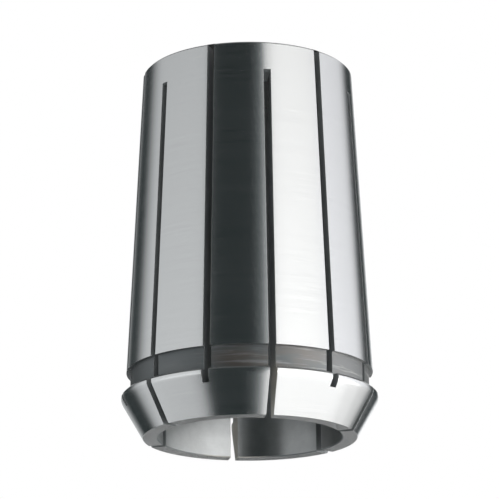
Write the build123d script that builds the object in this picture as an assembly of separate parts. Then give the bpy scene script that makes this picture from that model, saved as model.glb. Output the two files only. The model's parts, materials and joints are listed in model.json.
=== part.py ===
"""Spring collet for a tool holder: one piece of hardened spring steel, slotted from both ends.

The collet stands on its nose face. Its axis is Z, with the nose face at Z = 0 and the small end up.
Lengths are in millimetres and angles in degrees.
"""
from build123d import *
from math import radians, sqrt, tan
import os

# Collet as a whole
collet_length = 52.0
bore_diameter = 25.0

# Long outer taper that seats in the holder, with the wall between bore and taper at its large end
taper_wall = 4.35
taper_on_diameter = 1 / 10

# Groove that the ring in the nut hooks into to pull the collet out
groove_width = 3.1
groove_depth = 0.55

# Nose: the cone that the closing nut presses on, and the collar that stands out past the taper
collar_step = 0.675
collar_land = 0.5
collar_chamfer = 0.3
nose_length = 5.1
nose_half_angle = 30.0

# Broken edges
small_end_chamfer = 0.2
bore_chamfer = 0.15

# Slots, cut by a slitting saw from each end in turn
slots_per_end = 6
first_slot_angle = -90.0
slot_width = 1.0
front_bridge = 4.0
back_bridge = 4.0
saw_diameter = 80.0
saw_clearance = 1.0

# Angles round the axis; the seam line of the turned faces lies on a finger, clear of the slots
slot_pitch = 360 / slots_per_end
seam_angle = first_slot_angle + slot_pitch / 8

# Heights above the nose face
land_top = nose_length + collar_land
groove_bottom = land_top + collar_chamfer
groove_top = groove_bottom + groove_width

# Radii, from the bore outwards
bore_radius = bore_diameter / 2
taper_radius = bore_radius + taper_wall
groove_radius = taper_radius - groove_depth
collar_radius = taper_radius + collar_step
taper_slope = taper_on_diameter / 2
nose_slope = tan(radians(nose_half_angle))
saw_radius = saw_diameter / 2


def nose_radius_at(height):
    """Outer radius of the nose cone at a height above the nose face."""
    return collar_radius - (nose_length - height) * nose_slope


def taper_radius_at(height):
    """Outer radius of the long taper at a height above the nose face."""
    return taper_radius - (height - groove_top) * taper_slope


def turned_blank():
    """The collet as it comes off the lathe, before it is slotted."""
    shoulder = collet_length - small_end_chamfer
    outline = [
        (bore_radius + bore_chamfer, 0),
        (nose_radius_at(0), 0),
        (collar_radius, nose_length),
        (collar_radius, land_top),
        (collar_radius - collar_chamfer, groove_bottom),
        (groove_radius, groove_bottom),
        (groove_radius, groove_top),
        (taper_radius, groove_top),
        (taper_radius_at(shoulder), shoulder),
        (taper_radius_at(shoulder) - small_end_chamfer, collet_length),
        (bore_radius + bore_chamfer, collet_length),
        (bore_radius, collet_length - bore_chamfer),
        (bore_radius, bore_chamfer),
    ]
    with BuildPart() as blank:
        with BuildSketch(Plane.XZ):
            with BuildLine():
                Polyline(*outline, close=True)
            make_face()
        revolve(axis=Axis.Z)
    return Rot(0, 0, seam_angle) * blank.part


def saw_path(outer_radius):
    """What the saw removes below Z = 0, when its cut ends at Z = 0 on a wall of this outer radius.

    The saw goes through one wall and stops short of the wall across the bore, so the slot ends
    in the arc of the saw's rim, and is longer outside than in the bore.
    """
    saw_axis = saw_radius - (bore_radius - saw_clearance)
    rim_reach = sqrt(saw_radius**2 - (saw_axis - outer_radius) ** 2)
    with BuildPart() as path:
        with BuildSketch(Plane.XZ):
            with Locations((saw_axis, -rim_reach)):
                Circle(saw_radius)
                Rectangle(saw_diameter, collet_length, align=(Align.CENTER, Align.MAX))
        extrude(amount=slot_width / 2, both=True)
    return path.part


def slots():
    """Slots from the nose and slots from the small end, turned half a pitch from each other."""
    front_end = collet_length - back_bridge
    from_nose = Location((0, 0, front_end)) * saw_path(taper_radius_at(front_end))
    over = Location((0, 0, front_bridge), (180, 0, 0))
    from_small_end = over * saw_path(nose_radius_at(front_bridge))
    cuts = []
    for number in range(slots_per_end):
        cuts.append(Rot(0, 0, first_slot_angle + number * slot_pitch) * from_nose)
        cuts.append(Rot(0, 0, first_slot_angle + (number + 0.5) * slot_pitch) * from_small_end)
    return cuts


spring_collet = turned_blank() - slots()

os.makedirs("parts", exist_ok=True)
export_step(spring_collet, "parts/spring_collet.step")
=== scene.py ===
# %% [markdown]
# # A spring collet
#
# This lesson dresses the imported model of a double-slotted spring collet. The collet is one piece of
# hardened spring steel: a thin tube, bored straight and ground to a slow taper outside, with a short
# steep nose, an extraction groove behind the nose, and narrow saw slots from both ends in turn.
#
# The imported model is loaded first, as a fixed frame. Everything made here is in metres and in that
# frame: Z runs along the collet's axis, from the nose face at Z = 0 up to the small end.

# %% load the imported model
import json
import math

import bmesh
import bpy
from mathutils import Matrix, Vector


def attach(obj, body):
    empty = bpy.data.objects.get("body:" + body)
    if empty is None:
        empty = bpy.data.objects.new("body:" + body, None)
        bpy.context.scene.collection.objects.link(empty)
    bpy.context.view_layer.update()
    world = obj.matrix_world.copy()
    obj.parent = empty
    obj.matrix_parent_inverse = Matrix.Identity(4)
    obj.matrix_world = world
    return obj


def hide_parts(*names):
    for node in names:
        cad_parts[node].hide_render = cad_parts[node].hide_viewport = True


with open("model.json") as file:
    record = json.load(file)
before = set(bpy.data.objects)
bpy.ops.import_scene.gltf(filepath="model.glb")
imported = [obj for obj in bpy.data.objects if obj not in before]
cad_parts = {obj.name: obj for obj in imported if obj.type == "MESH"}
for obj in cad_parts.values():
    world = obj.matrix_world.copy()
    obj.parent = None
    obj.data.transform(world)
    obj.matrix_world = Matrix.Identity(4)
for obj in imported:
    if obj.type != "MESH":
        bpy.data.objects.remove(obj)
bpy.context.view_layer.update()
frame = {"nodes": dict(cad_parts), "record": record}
print("nodes:", sorted(frame["nodes"]))

# %% [markdown]
# ## The collet's sizes
#
# A turned part is its profile: radii and heights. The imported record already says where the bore,
# the nose cone, the groove and the taper are, so those heights come from it, and the drawing's
# other sizes are written once here. Once the finger is drawn, its profile is held against the
# solid, so that this file and the solid can't drift apart unseen.

# %% sizes of the profile
MM = 0.001
NODE = "spring_collet"
TAPER_WALL = 4.35 * MM
TAPER_ONE_IN = 20
COLLAR_STEP = 0.675 * MM
COLLAR_CHAMFER = 0.3 * MM
GROOVE_DEPTH = 0.55 * MM
NOSE_HALF_ANGLE = 30
END_CHAMFER = 0.2 * MM

mounts = {mount["name"]: mount for mount in frame["record"]["mounts"]}
bore_radius = mounts["shank_bore"]["dims"]["r_mm"] * MM
bore_lead = mounts["shank_bore"]["pos_m"][2]
nose_length = mounts["nose_cone"]["pos_m"][2]
groove_top = mounts["holder_taper"]["pos_m"][2]
groove_bottom = 2 * mounts["extraction_groove"]["pos_m"][2] - groove_top
top = mounts["small_end_face"]["pos_m"][2]

taper_radius = bore_radius + TAPER_WALL
collar_radius = taper_radius + COLLAR_STEP
groove_radius = taper_radius - GROOVE_DEPTH
land_top = groove_bottom - COLLAR_CHAMFER
collar_foot_radius = collar_radius - COLLAR_CHAMFER
nose_radius = collar_radius - nose_length * math.tan(math.radians(NOSE_HALF_ANGLE))
mouth_radius = bore_radius + bore_lead
shoulder = top - END_CHAMFER
shoulder_radius = taper_radius - (shoulder - groove_top) / TAPER_ONE_IN
small_end_radius = shoulder_radius - END_CHAMFER
print(f"nose {nose_length / MM:.2f}, land to {land_top / MM:.2f}, groove {groove_bottom / MM:.2f}"
      f" to {groove_top / MM:.2f}, shoulder {shoulder / MM:.2f}, top {top / MM:.2f} mm")
print(f"radii: bore {bore_radius / MM:.2f}, nose {nose_radius / MM:.2f},"
      f" collar {collar_radius / MM:.3f}, groove {groove_radius / MM:.2f},"
      f" taper {taper_radius / MM:.2f} to {shoulder_radius / MM:.2f} mm")

# %% [markdown]
# ## The slots
#
# A slitting saw cuts each slot through one wall of the tube and stops in the bore. So a slot ends
# in the arc of the saw's rim: it is longer outside than in the bore. Six slots come from the nose
# and six from the small end, half a pitch apart, and each stops a few millimetres short of the
# other end. That is what lets the whole length of the collet close evenly on a shank.

# %% sizes of the slots
FINGERS = 6
HALF_PITCH = math.pi / FINGERS
SLOT_WIDTH = 1.0 * MM
BRIDGE = 4 * MM
SAW_RADIUS = 40 * MM
SAW_CLEARANCE = 1.0 * MM

slot_half = SLOT_WIDTH / 2
front_end = top - BRIDGE
back_end = BRIDGE
saw_axis = SAW_RADIUS - (bore_radius - SAW_CLEARANCE)
print(f"slots {SLOT_WIDTH / MM:.2f} mm wide, from the nose up to {front_end / MM:.2f} mm,"
      f" from the small end down to {back_end / MM:.2f} mm")


def nose_cone_radius(height):
    """Outer radius of the nose cone."""
    return nose_radius + (collar_radius - nose_radius) * height / nose_length


def long_taper_radius(height):
    """Outer radius of the long taper."""
    share = (height - groove_top) / (shoulder - groove_top)
    return taper_radius + (shoulder_radius - taper_radius) * share


def saw_run_out(outer_radius, outer_height, towards, steps=8):
    """(radius, height) along the arc that the saw's rim leaves, from the outside to the bore."""
    def reach(radius):
        return math.sqrt(SAW_RADIUS**2 - (saw_axis - radius)**2)
    arc = []
    for step in range(steps + 1):
        radius = outer_radius + (bore_radius - outer_radius) * step / steps
        arc.append((radius, outer_height + towards * (reach(radius) - reach(outer_radius))))
    return arc


front_arc = saw_run_out(long_taper_radius(front_end), front_end, 1)
back_arc = saw_run_out(nose_cone_radius(back_end), back_end, -1)
print(f"in the bore they end at {front_arc[-1][1] / MM:.2f} and {back_arc[-1][1] / MM:.2f} mm")

# %% [markdown]
# ## One finger
#
# The twelve slots repeat every 60 degrees, and each sixth is its own mirror image. So only half of
# a sixth is drawn, from the middle of a slot of one kind to the middle of the next slot of the
# other kind, and the rest follows. A boolean cut would give the same solid with long thin
# triangles, which spoil the highlights of polished metal. Laid out one by one, the faces run in clean
# rows round the collet. Two extra rows on the taper and one in the bore keep the faces from
# getting too long.
#
# Each face gets a number for its finish, because a real collet has several: ground outside, ground
# duller in the bore, left dark in the groove, sawn in the slots, and turned on its two end faces.
# The small chamfer at the bore's lower mouth is as dull as the slots, so it takes their finish.
#
# The collar's corner is soft on a real collet, so it is a short curve here. It is the one place
# where the profile leaves the solid, by a few hundredths of a millimetre.

# %% draw one finger
NEAR = 0.004 * MM
WELD = 0.002 * MM
CORNER_BELOW = 0.4 * MM
CORNER_ABOVE = 0.2 * MM
TAPER_ROWS = (20 * MM, 34 * MM)
GROUND, HARDENED, SAWN, TURNED, BORE = range(5)
COLUMNS = 24


def soft_corner(before, corner, after, steps=4):
    """(radius, height) points that round a corner off, from a point before it to one after it."""
    points = []
    for step in range(steps + 1):
        t = step / steps
        points.append(tuple((1 - t)**2 * a + 2 * t * (1 - t) * b + t**2 * c
                            for a, b, c in zip(before, corner, after)))
    return points


rounding_start = nose_length - CORNER_BELOW
collar_corner = soft_corner((nose_cone_radius(rounding_start), rounding_start),
                            (collar_radius, nose_length), (collar_radius, nose_length + CORNER_ABOVE))
outer_rows = [
    (nose_radius, 0, GROUND),
    (nose_cone_radius(back_end), back_end, GROUND),
    *((radius, height, GROUND) for radius, height in collar_corner),
    (collar_radius, land_top, GROUND),
    (collar_foot_radius, groove_bottom, HARDENED),
    (groove_radius, groove_bottom, HARDENED),
    (groove_radius, groove_top, HARDENED),
    (taper_radius, groove_top, GROUND),
    *((long_taper_radius(height), height, GROUND) for height in TAPER_ROWS),
    (long_taper_radius(front_end), front_end, GROUND),
    (shoulder_radius, shoulder, GROUND),
    (small_end_radius, top, TURNED),
]
bore_rows = [
    (mouth_radius, top, BORE),
    (bore_radius, top - bore_lead, BORE),
    (bore_radius, front_arc[-1][1], BORE),
    (bore_radius, top / 2, BORE),
    (bore_radius, back_arc[-1][1], BORE),
    (bore_radius, bore_lead, SAWN),
    (mouth_radius, 0, TURNED),
]
profile = outer_rows + bore_rows


def wall_angle(radius):
    """Angle from the middle of a slot to its wall."""
    return math.asin(slot_half / radius)


def place(radius, angle, height):
    """A point at an angle from the middle of the slot that faces -Y."""
    return Vector((radius * math.sin(angle), -radius * math.cos(angle), height))


def is_open_in_front(start, end):
    """True where the slot from the nose cuts this strip of the profile."""
    limit = front_arc[-1][1] if max(start[0], end[0]) < mouth_radius + NEAR else front_end
    return max(start[1], end[1]) < limit + NEAR


def is_open_behind(start, end):
    """True where the slot from the small end cuts this strip of the profile."""
    limit = back_arc[-1][1] if max(start[0], end[0]) < mouth_radius + NEAR else back_end
    return min(start[1], end[1]) > limit - NEAR


def half_finger_faces():
    """(corner points, finish) of each face between the middle of one slot and that of the next."""
    faces = []
    for start, end in zip(profile, profile[1:] + profile[:1]):
        def across(row, share):
            edge = wall_angle(row[0])
            return place(row[0], edge + share * (HALF_PITCH - 2 * edge), row[1])
        for column in range(COLUMNS):
            near, far = column / COLUMNS, (column + 1) / COLUMNS
            strip = [across(start, near), across(start, far), across(end, far), across(end, near)]
            faces.append((strip, start[2]))
        if not is_open_in_front(start, end):
            bridge = [place(start[0], 0, start[1]), across(start, 0), across(end, 0),
                      place(end[0], 0, end[1])]
            faces.append((bridge, start[2]))
        if not is_open_behind(start, end):
            bridge = [across(start, 1), place(start[0], HALF_PITCH, start[1]),
                      place(end[0], HALF_PITCH, end[1]), across(end, 1)]
            faces.append((bridge, start[2]))
    front_outline = [row[:2] for row in outer_rows if row[1] < front_end - NEAR]
    front_outline += front_arc
    front_outline += [row[:2] for row in bore_rows if row[1] < front_arc[-1][1] - NEAR]
    back_outline = [row[:2] for row in outer_rows if row[1] > back_end + NEAR]
    back_outline += [row[:2] for row in bore_rows if row[1] > back_arc[-1][1] + NEAR]
    back_outline += back_arc[::-1]
    faces.append(([place(r, wall_angle(r), z) for r, z in front_outline], SAWN))
    faces.append(([place(r, HALF_PITCH - wall_angle(r), z) for r, z in back_outline], SAWN))
    for (r0, z0), (r1, z1) in zip(front_arc, front_arc[1:]):
        faces.append(([place(r0, 0, z0), place(r0, wall_angle(r0), z0),
                       place(r1, wall_angle(r1), z1), place(r1, 0, z1)], SAWN))
    for (r0, z0), (r1, z1) in zip(back_arc, back_arc[1:]):
        faces.append(([place(r0, HALF_PITCH - wall_angle(r0), z0), place(r0, HALF_PITCH, z0),
                       place(r1, HALF_PITCH, z1), place(r1, HALF_PITCH - wall_angle(r1), z1)], SAWN))
    return faces


def finger_mesh():
    """One sixth of the collet, from the middle of one slot from the small end to the next."""
    shape = bmesh.new()
    finish = shape.faces.layers.int.new("finish")
    for points, number in half_finger_faces():
        for side in (1, -1):
            corners_here = [shape.verts.new((side * p.x, p.y, p.z)) for p in points]
            shape.faces.new(corners_here)[finish] = number
    bmesh.ops.remove_doubles(shape, verts=shape.verts, dist=WELD / 2)
    mesh = bpy.data.meshes.new("finger")
    shape.to_mesh(mesh)
    shape.free()
    return mesh


finger = finger_mesh()
print("one finger:", len(finger.vertices), "points,", len(finger.polygons), "faces")

# %% hold the profile against the solid


def gap_to_profile(point):
    """Distance of a corner of the solid from the nearest line of the profile."""
    here = Vector((math.hypot(point.x, point.y), point.z))
    gaps = []
    for start, end in zip(profile, profile[1:] + profile[:1]):
        a, b = Vector(start[:2]), Vector(end[:2])
        share = min(1, max(0, (here - a).dot(b - a) / (b - a).length_squared))
        gaps.append((here - a - (b - a) * share).length)
    return min(gaps)


def is_on_a_slot(point):
    """True for a corner inside the wall, where only a slot's run-out has corners."""
    angle = math.atan2(point.x, -point.y) % HALF_PITCH
    return min(angle, HALF_PITCH - angle) < 2 * wall_angle(bore_radius)


solid = frame["nodes"][NODE].data
turned_corners = [v.co for v in solid.vertices if not is_on_a_slot(v.co)]
widest_gap = max(gap_to_profile(point) for point in turned_corners)
print(f"{len(turned_corners)} turned corners of the solid are within"
      f" {widest_gap / MM:.3f} mm of the profile")

# %% [markdown]
# ## Reading a place on the collet in a material
#
# Everything that happened to this part happened while it turned: grinding wheels and lathe tools
# leave fine lines round the axis. A material can follow them if it knows, at each point, how far
# the point is from the axis, how high it is, and which way "round the axis" points. Object
# coordinates give the first two, and the cross product of the axis and the point gives the third.

# %% node helpers


def add(tree, kind, label="", **settings):
    """A new node with its settings."""
    node = tree.nodes.new(kind)
    node.label = label
    for name, value in settings.items():
        setattr(node, name, value)
    return node


def new_steel(name, roughness, metal=1.0):
    """A material with its shader ready. Returns the material, its tree and the shader."""
    material = bpy.data.materials.new(name)
    material.use_nodes = True
    tree = material.node_tree
    shader = tree.nodes["Principled BSDF"]
    shader.inputs["Metallic"].default_value = metal
    shader.inputs["Roughness"].default_value = roughness
    return material, tree, shader


def scaled_place(tree, across, along):
    """Object coordinates stretched so that a pattern has its own size across and along the axis."""
    place_here = add(tree, "ShaderNodeTexCoord")
    stretch = add(tree, "ShaderNodeVectorMath", operation="MULTIPLY")
    stretch.inputs[1].default_value = (across, across, along)
    tree.links.new(place_here.outputs["Object"], stretch.inputs[0])
    return stretch.outputs["Vector"]


def along_axis(tree, axis):
    """How far a point lies along one of the object's axes, in metres."""
    place_here = add(tree, "ShaderNodeTexCoord")
    split = add(tree, "ShaderNodeSeparateXYZ")
    tree.links.new(place_here.outputs["Object"], split.inputs["Vector"])
    return split.outputs[axis]


def calculate(tree, operation, *values):
    """The result of a sum on one value or two."""
    node = add(tree, "ShaderNodeMath", operation=operation)
    for socket, value in zip(node.inputs, values):
        tree.links.new(value, socket)
    return node.outputs["Value"]


def noise(tree, vector, detail, roughness, label):
    """A noise pattern on a vector that already has its scale."""
    pattern = add(tree, "ShaderNodeTexNoise", label)
    pattern.inputs["Scale"].default_value = 1.0
    pattern.inputs["Detail"].default_value = detail
    pattern.inputs["Roughness"].default_value = roughness
    tree.links.new(vector, pattern.inputs["Vector"])
    return pattern.outputs["Fac"]


def remap(tree, value, low, high, from_low=0.3, from_high=0.7, smooth=False):
    """A pattern's usual range turned into the range that a finish needs."""
    change = add(tree, "ShaderNodeMapRange")
    if smooth:
        change.interpolation_type = "SMOOTHSTEP"
    change.inputs["From Min"].default_value = from_low
    change.inputs["From Max"].default_value = from_high
    change.inputs["To Min"].default_value = low
    change.inputs["To Max"].default_value = high
    tree.links.new(value, change.inputs["Value"])
    return change.outputs["Result"]


def dimmed(tone, level):
    """A tone at another level of brightness."""
    return tuple(level * part for part in tone)


def blend_colours(tree, share, first, second):
    """A colour between two, by a share."""
    mix = add(tree, "ShaderNodeMix", data_type="RGBA")
    for socket, colour in (("A_Color", first), ("B_Color", second)):
        target = next(s for s in mix.inputs if s.identifier == socket)
        if isinstance(colour, tuple):
            target.default_value = (*colour, 1.0)
        else:
            tree.links.new(colour, target)
    tree.links.new(share, next(s for s in mix.inputs if s.identifier == "Factor_Float"))
    return next(s for s in mix.outputs if s.identifier == "Result_Color")


def run_round_the_axis(tree, shader, strength):
    """Fine lines round the axis stretch a reflection at right angles to them."""
    place_here = add(tree, "ShaderNodeTexCoord")
    cross = add(tree, "ShaderNodeVectorMath", "round the axis", operation="CROSS_PRODUCT")
    cross.inputs[0].default_value = (0, 0, 1)
    tree.links.new(place_here.outputs["Object"], cross.inputs[1])
    tree.links.new(cross.outputs["Vector"], shader.inputs["Tangent"])
    shader.inputs["Anisotropic"].default_value = strength
    shader.inputs["Anisotropic Rotation"].default_value = 0.25


def add_bump(tree, shader, height, distance):
    """Relief of a real depth, in metres."""
    relief = add(tree, "ShaderNodeBump")
    relief.inputs["Strength"].default_value = 1.0
    relief.inputs["Distance"].default_value = distance
    tree.links.new(height, relief.inputs["Height"])
    tree.links.new(relief.outputs["Normal"], shader.inputs["Normal"])


print("helpers ready")

# %% [markdown]
# ## Ground steel
#
# The taper, the nose cone and the collar are ground. A wheel leaves lines a few hundredths of a
# millimetre apart, all running round the part: each one is too fine to see, but together they
# smear a reflection up and down while its sides stay crisp. That is anisotropy. Some lines are a
# little deeper and longer, and those show as faint streaks in the brightness. A film of dust and
# oil keeps any ground face from being all metal, so the metallic value stays just short of 1.
#
# The bore is the same steel, ground duller and more clouded. Its fingers at both sides are
# painted darker by their distance from the middle: that is painted shade.

# %% ground steel material


def ground_steel(name, roughness, smear, tone, cloudy, darkening=0.0):
    """Steel ground round its axis. A darkening share paints shade on the fingers at both sides."""
    material, tree, shader = new_steel(name, roughness)
    run_round_the_axis(tree, shader, smear)
    lines = noise(tree, scaled_place(tree, across=40, along=5200), 4.0, 0.6, "grinding lines")
    passes = noise(tree, scaled_place(tree, across=20, along=2300), 3.0, 0.6, "passes of the wheel")
    clouds = noise(tree, scaled_place(tree, across=480, along=480), 4.0, 0.6, "handling")
    in_the_lines = dimmed(tone, 0.95)
    handled = dimmed(tone, 1 - cloudy)
    colour = blend_colours(tree, remap(tree, lines, 0.0, 1.0), in_the_lines, tone)
    colour = blend_colours(tree, remap(tree, clouds, 1.0, 0.0, 0.35, 0.65), colour, handled)
    # painted shade: the bore's fingers at both sides go darker towards black by their distance from the
    # middle
    if darkening:
        black = (0.0, 0.0, 0.0)
        sideways = calculate(tree, "ABSOLUTE", along_axis(tree, "X"))
        painted_side_shade = remap(tree, sideways, 0.0, darkening, 10.4 * MM, 11.2 * MM)
        colour = blend_colours(tree, painted_side_shade, colour, black)
    tree.links.new(colour, shader.inputs["Base Color"])
    rough = remap(tree, passes, roughness - 0.015, roughness + 0.02)
    tree.links.new(rough, shader.inputs["Roughness"])
    metal = remap(tree, lines, 0.979, 0.996, 0.38, 0.62)
    tree.links.new(metal, shader.inputs["Metallic"])
    add_bump(tree, shader, lines, 0.0005 * MM)
    return material


ground = ground_steel("ground steel", roughness=0.22, smear=0.92, tone=(0.783, 0.793, 0.792),
                      cloudy=0.02)
# the bore's darkening is painted shade at its sides
bore_finish = ground_steel("ground bore", roughness=0.34, smear=1.0, tone=(0.72, 0.74, 0.742),
                           cloudy=0.13, darkening=0.45)
print("made", ground.name, "and", bore_finish.name)

# %% [markdown]
# ## The groove as hardened
#
# Nothing bears on the groove's floor, so nobody grinds it: it keeps the dark skin of the heat
# treatment, between grey, brown and blue, with the lathe's lines under it and a few brighter
# streaks where the grinding wheel or the nut's ring has touched. One side is bluer. The other, at
# high X, is painted lighter and bare along its streaks: partly wear, partly painted light.

# %% hardened groove material


def hardened_steel():
    """Dark scale from hardening over turned steel, bluer at low X, lighter at high X as wear and painted
    light.
    """
    roughness = 0.46
    brown = (0.185, 0.165, 0.15)
    blue = (0.16, 0.175, 0.18)
    rubbed_and_painted_light = (0.355, 0.365, 0.365)
    bare_and_painted_light = (0.66, 0.66, 0.64)
    material, tree, shader = new_steel("hardened groove", roughness, metal=0.7)
    run_round_the_axis(tree, shader, 0.3)
    patches = noise(tree, scaled_place(tree, across=150, along=420), 3.0, 0.6, "patches of scale")
    streaks = noise(tree, scaled_place(tree, across=150, along=2300), 4.0, 0.65, "turned streaks")
    colour = blend_colours(tree, remap(tree, patches, 0.0, 1.0, 0.38, 0.62), brown, blue)
    touched = remap(tree, streaks, 0.0, 0.8, 0.50, 0.74, smooth=True)
    colour = blend_colours(tree, touched, colour, rubbed_and_painted_light)
    sideways = along_axis(tree, "X")
    blue_side = remap(tree, sideways, 0.9, 0.0, -12 * MM, -3 * MM, smooth=True)
    # partly wear, partly painted light: the side at high X is made lighter and bare along its streaks
    wear_and_painted_light = remap(tree, sideways, 0.0, 0.8, -1 * MM, 12 * MM, smooth=True)
    colour = blend_colours(tree, blue_side, colour, blue)
    colour = blend_colours(tree, wear_and_painted_light, colour, rubbed_and_painted_light)
    shiny = remap(tree, streaks, 0.0, 0.9, 0.54, 0.70)
    bare_streaks_and_painted_light = calculate(tree, "MULTIPLY", shiny, wear_and_painted_light)
    colour = blend_colours(tree, bare_streaks_and_painted_light, colour, bare_and_painted_light)
    tree.links.new(colour, shader.inputs["Base Color"])
    rough = remap(tree, patches, roughness - 0.05, roughness + 0.08)
    tree.links.new(rough, shader.inputs["Roughness"])
    add_bump(tree, shader, streaks, 0.004 * MM)
    return material


hardened = hardened_steel()
print("made", hardened.name)

# %% [markdown]
# ## Sawn slots and turned end faces
#
# The slot walls keep the saw's marks and stay a dull blue-grey, because cutting oil is left in
# them. Low down, in the slots at the front and the back, the walls are painted a lighter, warmer
# tone: that is painted light. The two end faces are turned: their lines are circles, and they look
# duller than the ground faces.

# %% sawn and turned materials


def sawn_steel():
    """Steel as a slitting saw leaves it, with painted light low down in the front and back slots."""
    roughness = 0.46
    darkening = (0.33, 0.35, 0.355)
    dry = (0.41, 0.43, 0.435)
    painted_light_tone = (0.72, 0.705, 0.66)
    material, tree, shader = new_steel("sawn slot", roughness, metal=0.7)
    marks = noise(tree, scaled_place(tree, across=2200, along=700), 2.0, 0.5, "saw marks")
    stain = noise(tree, scaled_place(tree, across=120, along=120), 3.0, 0.5, "oil stain")
    colour = blend_colours(tree, remap(tree, stain, 0.0, 1.0), darkening, dry)
    # painted light: low down in the front and back slots the walls are lightened towards a warm tone
    low_down = remap(tree, along_axis(tree, "Z"), 1.0, 0.0, nose_length, groove_top, smooth=True)
    sideways = calculate(tree, "ABSOLUTE", along_axis(tree, "X"))
    in_the_middle = remap(tree, sideways, 1.0, 0.0, 3 * MM, 6 * MM)
    painted_light_share = calculate(tree, "MULTIPLY", low_down, in_the_middle)
    colour = blend_colours(tree, painted_light_share, colour, painted_light_tone)
    tree.links.new(colour, shader.inputs["Base Color"])
    rough = remap(tree, marks, roughness - 0.08, roughness + 0.1)
    tree.links.new(rough, shader.inputs["Roughness"])
    add_bump(tree, shader, marks, 0.006 * MM)
    return material


def turned_steel():
    """Steel turned across its end: the lines are circles round the axis."""
    roughness = 0.36
    lines_to_a_metre = 9000
    groove_tone = (0.80, 0.80, 0.79)
    crest_tone = (0.88, 0.88, 0.87)
    material, tree, shader = new_steel("turned face", roughness)
    run_round_the_axis(tree, shader, 0.6)
    distance = add(tree, "ShaderNodeVectorMath", "distance from the axis", operation="LENGTH")
    rings = add(tree, "ShaderNodeTexNoise", "tool lines", noise_dimensions="1D")
    rings.inputs["Scale"].default_value = lines_to_a_metre
    rings.inputs["Detail"].default_value = 2.0
    tree.links.new(scaled_place(tree, across=1, along=0), distance.inputs[0])
    tree.links.new(distance.outputs["Value"], rings.inputs["W"])
    circles = rings.outputs["Fac"]
    colour = blend_colours(tree, remap(tree, circles, 0.0, 1.0), groove_tone, crest_tone)
    tree.links.new(colour, shader.inputs["Base Color"])
    rough = remap(tree, circles, roughness - 0.05, roughness + 0.07)
    tree.links.new(rough, shader.inputs["Roughness"])
    add_bump(tree, shader, circles, 0.003 * MM)
    return material


sawn = sawn_steel()
turned = turned_steel()
print("made", sawn.name, "and", turned.name)

# %% [markdown]
# ## From one finger to the collet
#
# Geometry Nodes repeat the finger: a line of points, all on the axis, carries one copy each, and
# copy number i is turned by i times the pitch. The copies are made real, their touching edges are
# merged, and each face takes the material that its finish number names.

# %% the finger ring tree


def finger_ring_tree(finishes):
    """A tree that turns a finger into a full ring of fingers."""
    tree = bpy.data.node_groups.new("finger ring", "GeometryNodeTree")
    sockets = tree.interface
    sockets.new_socket(name="Geometry", in_out="INPUT", socket_type="NodeSocketGeometry")
    count = sockets.new_socket(name="Fingers", in_out="INPUT", socket_type="NodeSocketInt")
    weld = sockets.new_socket(name="Weld distance", in_out="INPUT", socket_type="NodeSocketFloat")
    sockets.new_socket(name="Geometry", in_out="OUTPUT", socket_type="NodeSocketGeometry")
    given = add(tree, "NodeGroupInput")
    result = add(tree, "NodeGroupOutput")
    points = add(tree, "GeometryNodeMeshLine", "one point for each finger")
    points.inputs["Offset"].default_value = (0, 0, 0)
    number = add(tree, "GeometryNodeInputIndex")
    pitch = add(tree, "ShaderNodeMath", "pitch", operation="DIVIDE")
    pitch.inputs[0].default_value = 2 * math.pi
    turn = add(tree, "ShaderNodeMath", "turn of this finger", operation="MULTIPLY")
    angles = add(tree, "ShaderNodeCombineXYZ")
    rotation = add(tree, "FunctionNodeEulerToRotation")
    copies = add(tree, "GeometryNodeInstanceOnPoints")
    real = add(tree, "GeometryNodeRealizeInstances")
    welded = add(tree, "GeometryNodeMergeByDistance")
    smooth = add(tree, "GeometryNodeSetShadeSmooth")
    link = tree.links.new
    link(given.outputs["Fingers"], points.inputs["Count"])
    link(given.outputs["Fingers"], pitch.inputs[1])
    link(number.outputs["Index"], turn.inputs[0])
    link(pitch.outputs["Value"], turn.inputs[1])
    link(turn.outputs["Value"], angles.inputs["Z"])
    link(angles.outputs["Vector"], rotation.inputs["Euler"])
    link(points.outputs["Mesh"], copies.inputs["Points"])
    link(given.outputs["Geometry"], copies.inputs["Instance"])
    link(rotation.outputs["Rotation"], copies.inputs["Rotation"])
    link(copies.outputs["Instances"], real.inputs["Geometry"])
    link(real.outputs["Geometry"], welded.inputs["Geometry"])
    link(given.outputs["Weld distance"], welded.inputs["Distance"])
    link(welded.outputs["Geometry"], smooth.inputs["Geometry"])
    shown = smooth.outputs["Geometry"]
    finish = add(tree, "GeometryNodeInputNamedAttribute", data_type="INT")
    finish.inputs["Name"].default_value = "finish"
    for wanted, material in finishes.items():
        same = add(tree, "FunctionNodeCompare", material.name, data_type="INT", operation="EQUAL")
        next(s for s in same.inputs if s.identifier == "B_INT").default_value = wanted
        link(finish.outputs["Attribute"], next(s for s in same.inputs if s.identifier == "A_INT"))
        paint = add(tree, "GeometryNodeSetMaterial", material.name)
        paint.inputs["Material"].default_value = material
        link(same.outputs["Result"], paint.inputs["Selection"])
        link(shown, paint.inputs["Geometry"])
        shown = paint.outputs["Geometry"]
    link(shown, result.inputs["Geometry"])
    return tree, count.identifier, weld.identifier


finishes = {GROUND: ground, HARDENED: hardened, SAWN: sawn, TURNED: turned, BORE: bore_finish}
ring_tree, count_input, weld_input = finger_ring_tree(finishes)
print("tree:", len(ring_tree.nodes), "nodes")

# %% build the collet from its finger


def plain_mesh(piece, name):
    """What the piece's modifiers give, as a mesh of its own."""
    evaluated = piece.evaluated_get(bpy.context.evaluated_depsgraph_get())
    mesh = bpy.data.meshes.new_from_object(evaluated)
    mesh.name = name
    return mesh


def new_object(name, data):
    """A mesh, a lamp or a camera as an object in the scene."""
    thing = bpy.data.objects.new(name, data)
    bpy.context.scene.collection.objects.link(thing)
    return thing


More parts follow.
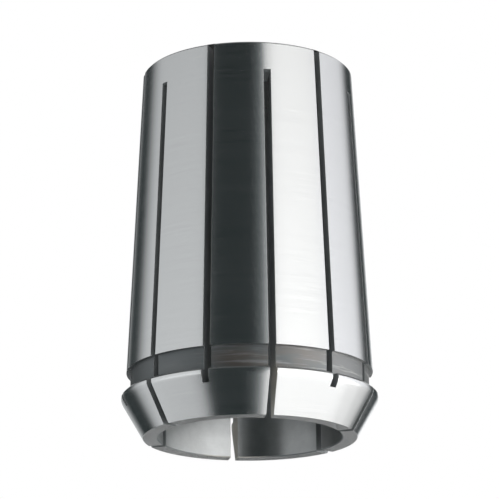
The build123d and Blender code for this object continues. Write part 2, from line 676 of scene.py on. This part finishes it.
finger.materials.append(ground)
collet = new_object("collet", finger)
ring = collet.modifiers.new("finger ring", "NODES")
ring.node_group = ring_tree
ring[count_input] = FINGERS
ring[weld_input] = WELD
ring_mesh = plain_mesh(collet, "collet ring")
collet.modifiers.clear()
collet.data = ring_mesh

shape = bmesh.new()
shape.from_mesh(ring_mesh)
bmesh.ops.recalc_face_normals(shape, faces=shape.faces)
open_edges = [edge for edge in shape.edges if len(edge.link_faces) != 2]
volume = shape.calc_volume()
shape.to_mesh(ring_mesh)
shape.free()
print("ring:", len(ring_mesh.polygons), "faces,", len(open_edges), "open edges,",
      f"{volume / MM**3:.0f} mm3, materials {[m.name for m in ring_mesh.materials]}")

# %% [markdown]
# ## Broken edges
#
# No edge of a real part is perfectly sharp. Deburring leaves a narrow round along every slot and
# corner, and it is what catches the light: a thin bright line beside a dark slot. A Bevel modifier
# makes it, on every edge that turns by more than a small angle. Hardened normals keep the faces
# beside the round as flat as they were.

# %% break the edges
EDGE_BREAK = 0.02 * MM

edges = collet.modifiers.new("broken edges", "BEVEL")
edges.width = EDGE_BREAK
edges.segments = 2
edges.limit_method = "ANGLE"
edges.angle_limit = math.radians(20)
edges.harden_normals = True
collet_mesh = plain_mesh(collet, "collet")
collet.modifiers.clear()
collet.data = collet_mesh

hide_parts(NODE)
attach(collet, "root")
print("collet:", len(collet_mesh.polygons), "faces,",
      sum(len(p.vertices) - 2 for p in collet_mesh.polygons), "triangles")

# %% [markdown]
# ## Light for polished metal
#
# Polished metal has hardly any look of its own: it shows the room. So the light for it is a room, a
# round tent of soft panels. A bright softbox stands to the right, a dimmer card to the left, and
# dark flags in front and behind draw the black bands that make a cylinder look like metal. Between
# flag and softbox the tone runs softly from dark to light.
#
# The tent is a dome of eight bands, because each face of the collet mirrors another height of the
# room. The three upper bands are for the long taper and the collar, the two windows under them for
# the bore and the nose's end face, the lower wall and the foot for the nose cone, and the bottom
# for the small chamfer at the bore's mouth. Only reflections see the tent. The floor and the
# background don't.

# %% the tent
CAMERA_TURN = -10.349
TENT_RADIUS = 1.2

flag = (0.022, 0.029, 0.030)
card = (0.588, 0.600, 0.610)
softbox = (1.245, 1.24, 1.235)
cool = (1.12, 1.22, 1.25)
sky = (1.24, 1.24, 1.28)


def mixed(first, second, share):
    """A tone between two tones."""
    return tuple(a + (b - a) * share for a, b in zip(first, second))


def glow_material():
    """Gives off the tone that is stored on the wall's points."""
    material = bpy.data.materials.new("tent glow")
    material.use_nodes = True
    tree = material.node_tree
    tree.nodes.clear()
    tone = add(tree, "ShaderNodeAttribute", attribute_name="tone")
    glow = add(tree, "ShaderNodeEmission")
    result = add(tree, "ShaderNodeOutputMaterial")
    tree.links.new(tone.outputs["Color"], glow.inputs["Color"])
    tree.links.new(glow.outputs["Emission"], result.inputs["Surface"])
    material.cycles.emission_sampling = "NONE"
    return material


def tent_wall(name, lowest, highest, stops, low_level=1.0, high_level=1.0):
    """A band of the tent's dome, between two heights in degrees.

    A stop is (degrees to the right of the camera, panel, share): at share 0 the wall has the dark
    flag's tone, at 1 the panel's, and past 1 it goes on beyond that. The levels make the band
    brighter or dimmer at its lowest and highest edge.
    """
    rows = 12
    degrees_to_a_column = 2
    shape = bmesh.new()
    tone = shape.verts.layers.float_color.new("tone")
    tones = [(degrees, mixed(flag, panel, share)) for degrees, panel, share in stops]
    columns = []
    for (start, first), (end, second) in zip(tones, tones[1:]):
        steps = max(1, round((end - start) / degrees_to_a_column))
        for step in range(steps):
            share = step / steps
            columns.append((start + (end - start) * share, mixed(first, second, share)))
    columns.append(tones[-1])
    previous = None
    for degrees, colour in columns:
        column = []
        for row in range(rows + 1):
            up = math.radians(lowest + (highest - lowest) * row / rows)
            turn = math.radians(degrees + CAMERA_TURN)
            at = place(TENT_RADIUS * math.cos(up), turn, TENT_RADIUS * math.sin(up))
            point = shape.verts.new(at)
            level = low_level + (high_level - low_level) * row / rows
            point[tone] = (*dimmed(colour, level), 1.0)
            column.append(point)
        if previous:
            for row in range(rows):
                shape.faces.new((previous[row], column[row], column[row + 1], previous[row + 1]))
        previous = column
    mesh = bpy.data.meshes.new(name)
    shape.to_mesh(mesh)
    shape.free()
    mesh.materials.append(glow)
    wall = new_object(name, mesh)
    wall.visible_camera = False
    wall.visible_diffuse = False
    wall.visible_shadow = False
    wall.visible_transmission = False
    print(name, "with", len(columns), "columns")


glow = glow_material()
upper_stops = [
    (-180, card, 0.85),
    (-166, card, 0.65),
    (-156, card, 0.34),
    (-147, card, 0.01),
    (-142, card, 0.01),
    (-131, card, 0.06),
    (-117, card, 0.76),
    (-108, card, 1),
    (-60, card, 1.07),
    (-44, card, 1.07),
    (-41, card, 0.03),
    (-30, flag, 1),
    (3, flag, 1),
    (11, cool, 0.052),
    (16, cool, 0.17),
    (19.5, softbox, 0.58),
    (21.5, softbox, 0.72),
    (28, softbox, 0.90),
    (38, softbox, 0.95),
    (66, softbox, 0.93),
    (90, sky, 0.765),
    (118, sky, 0.70),
    (125, sky, 0.575),
    (136, softbox, 0.02),
    (150, flag, 1),
    (157, card, 0.04),
    (165, card, 1.25),
    (180, card, 1.35),
]
tent_wall("tent upper wall", -6, 8, upper_stops, low_level=0.85, high_level=1.5)
tent_wall("tent main wall", 8, 40, upper_stops, low_level=1.335, high_level=0.56)
tent_wall("tent high wall", 40, 62, upper_stops, low_level=0.56, high_level=0.5)
tent_wall("tent window", -15, -6, [
    (-180, card, 0.08),
    (-170, card, 0.4),
    (-162, card, 0.6),
    (-154, card, 0.02),
    (-131, card, 0.01),
    (-127, card, 0.15),
    (-121, card, 0.75),
    (-112, card, 1.0),
    (-98, card, 1.5),
    (-72, card, 2.4),
    (-41, card, 2.5),
    (-35, flag, 1),
    (4, flag, 1),
    (14, softbox, 0.3),
    (28, softbox, 4.9),
    (48, softbox, 4.7),
    (60, softbox, 4.0),
    (90, softbox, 3.8),
    (105, softbox, 2.3),
    (118, softbox, 0.8),
    (126, softbox, 0.66),
    (130, softbox, 0.62),
    (134, softbox, 0.16),
    (141, card, 0.55),
    (165, card, 0.6),
    (172, card, 0.1),
    (180, card, 0.08),
])
tent_wall("tent low window", -25, -15, [
    (-180, card, 1.8),
    (-168, card, 1.7),
    (-157, card, 0.02),
    (-131, card, 0.01),
    (-127, card, 0.12),
    (-121, card, 0.8),
    (-112, card, 1.1),
    (-98, card, 1.0),
    (-47, card, 0.95),
    (-41, flag, 1),
    (4, flag, 1),
    (14, softbox, 0.2),
    (28, softbox, 2.8),
    (60, softbox, 2.9),
    (90, softbox, 1.7),
    (105, softbox, 0.72),
    (118, softbox, 0.64),
    (124, softbox, 0.58),
    (130, softbox, 0.62),
    (134, softbox, 0.06),
    (141, card, 0.1),
    (157, card, 0.1),
    (168, card, 1.7),
    (180, card, 1.8),
])
tent_wall("tent lower wall", -52, -25, [
    (-180, flag, 1),
    (-127, flag, 1),
    (-119, card, 0.8),
    (-108, card, 1.2),
    (-97, card, 0.94),
    (-63, card, 0.94),
    (-57, card, 0.76),
    (-50, card, 0.58),
    (-44.5, flag, 1),
    (-6, flag, 1),
    (6, cool, 0.05),
    (12, cool, 0.16),
    (20, softbox, 0.80),
    (28, softbox, 0.895),
    (60, softbox, 0.79),
    (90, softbox, 0.68),
    (97, softbox, 0.55),
    (112, softbox, 0.46),
    (124, softbox, 0.60),
    (131, softbox, 0.5),
    (139, softbox, 0.06),
    (147, flag, 1),
    (180, flag, 1),
])
tent_wall("tent foot", -66, -52, [
    (-180, flag, 1),
    (-110, flag, 1),
    (-96, card, 0.15),
    (-82, card, 0.9),
    (-59, card, 0.7),
    (-50, flag, 1),
    (2, flag, 1),
    (14, softbox, 0.3),
    (28, softbox, 0.97),
    (60, softbox, 0.93),
    (100, softbox, 0.5),
    (136, softbox, 0.4),
    (146, flag, 1),
    (180, flag, 1),
])
tent_wall("tent bottom", -86, -66, [
    (-180, card, 0.45),
    (-60, card, 0.45),
    (-50, flag, 1),
    (2, flag, 1),
    (28, card, 0.6),
    (146, card, 0.6),
    (180, card, 0.45),
])

# %% [markdown]
# Two more pieces close the room. A grey roof hangs over the tent, for whatever faces up. And a thin
# dark card of painted shade lies just over the small end. It covers the bore's mouth, with a narrow
# tab over each slot that is open there: without it, the white background would glare through the
# bore and the slots. It has only an underside, so from above the bore is open.

# %% roof and end card
ROOF_RADIUS = 0.6 * TENT_RADIUS
ROOF_HEIGHT = 0.85 * TENT_RADIUS
ROOF_SIDES = 96
ROOF_TONE = (0.16, 0.17, 0.17)
END_CARD_GAP = 0.02 * MM
END_CARD_OVERLAP = 0.08 * MM
END_CARD_SHADE_TONE = (0.022, 0.023, 0.023)


def one_sided(tree, front):
    """Shows a shader on the side that the face points to, and nothing from behind."""
    side = add(tree, "ShaderNodeNewGeometry")
    nothing = add(tree, "ShaderNodeBsdfTransparent")
    pick = add(tree, "ShaderNodeMixShader")
    tree.links.new(side.outputs["Backfacing"], pick.inputs["Fac"])
    tree.links.new(front, pick.inputs[1])
    tree.links.new(nothing.outputs["BSDF"], pick.inputs[2])
    return pick.outputs["Shader"]


def flat_card(name, outline, tone):
    """A flat card over the collet, seen only from below."""
    shape = bmesh.new()
    card_face = shape.faces.new([shape.verts.new(point) for point in outline])
    card_face.normal_update()
    if card_face.normal.z > 0:
        card_face.normal_flip()
    mesh = bpy.data.meshes.new(name)
    shape.to_mesh(mesh)
    shape.free()
    material = bpy.data.materials.new(name)
    material.use_nodes = True
    tree = material.node_tree
    tree.nodes.clear()
    glow = add(tree, "ShaderNodeEmission")
    glow.inputs["Color"].default_value = (*tone, 1)
    result = add(tree, "ShaderNodeOutputMaterial")
    tree.links.new(one_sided(tree, glow.outputs["Emission"]), result.inputs["Surface"])
    material.cycles.emission_sampling = "NONE"
    mesh.materials.append(material)
    card_object = new_object(name, mesh)
    card_object.visible_diffuse = False
    card_object.visible_shadow = False
    return card_object


def end_card_outline():
    """The bore's mouth with a narrow tab over each slot that is open at the small end."""
    outline = []
    steps = 12
    height = top + END_CARD_GAP
    disc = mouth_radius + END_CARD_OVERLAP
    tab = math.asin((slot_half + END_CARD_OVERLAP) / disc)
    tab_end = math.asin((slot_half + END_CARD_OVERLAP) / small_end_radius)
    for number in range(FINGERS):
        middle = (2 * number + 1) * HALF_PITCH
        outline.append(place(disc, middle - tab, height))
        outline.append(place(small_end_radius, middle - tab_end, height))
        outline.append(place(small_end_radius, middle + tab_end, height))
        for step in range(steps):
            outline.append(place(disc, middle + tab + 2 * (HALF_PITCH - tab) * step / steps, height))
    return outline


roof_outline = [place(ROOF_RADIUS, math.tau * side / ROOF_SIDES, ROOF_HEIGHT)
                for side in range(ROOF_SIDES)]
roof = flat_card("tent roof", roof_outline, ROOF_TONE)
roof.visible_camera = False
# painted shade: this dark card darkens what is seen through the bore and the open slots
flat_card("end card", end_card_outline(), END_CARD_SHADE_TONE)
print("made the roof and the end card")

# %% [markdown]
# ## Background, floor and lamp
#
# The background is white wherever the camera or a reflection sees past everything else. For plain
# light on the floor the world is weaker, and one large lamp overhead adds the rest, so a soft
# shadow gathers where the collet stands. The camera looks up from below the floor's level, so the
# floor is one-sided: seen from below it isn't there.

# %% world


def white_world():
    """White to the camera and in reflections, dimmer as light on the floor."""
    world = bpy.data.worlds.new("white world")
    bpy.context.scene.world = world
    world.use_nodes = True
    tree = world.node_tree
    background = tree.nodes["Background"]
    background.inputs["Color"].default_value = (1, 1, 1, 1)
    path = add(tree, "ShaderNodeLightPath")
    seen = calculate(tree, "MAXIMUM", path.outputs["Is Camera Ray"], path.outputs["Is Glossy Ray"])
    seen = calculate(tree, "MAXIMUM", seen, path.outputs["Is Transmission Ray"])
    strength = remap(tree, seen, low=0.6, high=1.0, from_low=0.0, from_high=1.0)
    tree.links.new(strength, background.inputs["Strength"])
    world.cycles.sampling_method = "NONE"
    return world


print("world:", white_world().name)

# %% floor and lamp
FLOOR_RADIUS = 2.5
FADE_START = 0.08
FADE_END = 0.6


def floor_material():
    """Pale floor that fades to the white background, and isn't there from below."""
    material = bpy.data.materials.new("pale floor")
    material.use_nodes = True
    tree = material.node_tree
    paint = tree.nodes["Principled BSDF"]
    paint.inputs["Base Color"].default_value = (0.86, 0.86, 0.86, 1)
    paint.inputs["Roughness"].default_value = 0.9
    paint.inputs["Specular IOR Level"].default_value = 0.1
    place_here = add(tree, "ShaderNodeTexCoord")
    distance = add(tree, "ShaderNodeVectorMath", operation="LENGTH")
    tree.links.new(place_here.outputs["Object"], distance.inputs[0])
    fade = remap(tree, distance.outputs["Value"], 0.0, 1.0, FADE_START, FADE_END, smooth=True)
    path = add(tree, "ShaderNodeLightPath")
    seen = calculate(tree, "MULTIPLY", fade, path.outputs["Is Camera Ray"])
    white = add(tree, "ShaderNodeEmission")
    faded = add(tree, "ShaderNodeMixShader")
    tree.links.new(seen, faded.inputs["Fac"])
    tree.links.new(paint.outputs["BSDF"], faded.inputs[1])
    tree.links.new(white.outputs["Emission"], faded.inputs[2])
    shown = one_sided(tree, faded.outputs["Shader"])
    tree.links.new(shown, tree.nodes["Material Output"].inputs["Surface"])
    material.cycles.emission_sampling = "NONE"
    return material


def pale_floor():
    """A round floor that the collet stands on."""
    shape = bmesh.new()
    bmesh.ops.create_circle(shape, cap_ends=True, radius=FLOOR_RADIUS, segments=96)
    for face in shape.faces:
        if face.normal.z < 0:
            face.normal_flip()
    mesh = bpy.data.meshes.new("floor")
    shape.to_mesh(mesh)
    shape.free()
    mesh.materials.append(floor_material())
    floor = new_object("floor", mesh)
    floor.visible_glossy = False
    floor.visible_shadow = False
    return floor


def overhead_lamp():
    """One large soft lamp, which lights the floor and isn't mirrored in the steel."""
    lamp = bpy.data.lights.new("overhead lamp", "AREA")
    lamp.shape = "DISK"
    lamp.size = 1.2
    lamp.energy = 9
    holder = new_object("overhead lamp", lamp)
    holder.location = (0.2, -0.2, 1.5)
    holder.rotation_euler = (Vector((0, 0, 0)) - holder.location).to_track_quat("-Z", "Y").to_euler()
    holder.visible_glossy = False
    return holder


print("made", pale_floor().name, "and", overhead_lamp().name)

# %% [markdown]
# ## Camera
#
# The camera stands a third of a metre off with a long lens, below the nose, and looks up: the far
# lip of the bore shows under the near one, and the small end's rim arches the other way.

# %% camera
CAMERA_DISTANCE = 341.28 * MM
CAMERA_HEIGHT = -75.05 * MM
CAMERA_UP = 16.616
CAMERA_SIDEWAYS = 0.0187
CAMERA_ROLL = -0.4345
LENS = 185.08

view = bpy.data.cameras.new("camera")
view.lens = LENS
view.sensor_width = 36
view.clip_start = 0.01
camera = new_object("camera", view)
heading = Matrix.Rotation(math.radians(CAMERA_TURN - CAMERA_SIDEWAYS), 4, "Z")
tilt = Matrix.Rotation(math.radians(90 + CAMERA_UP), 4, "X")
roll = Matrix.Rotation(math.radians(CAMERA_ROLL), 4, "Z")
stand = Matrix.Rotation(math.radians(CAMERA_TURN), 4, "Z") @ Vector((0, -CAMERA_DISTANCE, CAMERA_HEIGHT))
camera.matrix_world = Matrix.Translation(stand) @ heading @ tilt @ roll
bpy.context.scene.camera = camera
bpy.context.scene.view_settings.view_transform = "Standard"
print("camera at", [round(c / MM, 1) for c in stand], "mm")
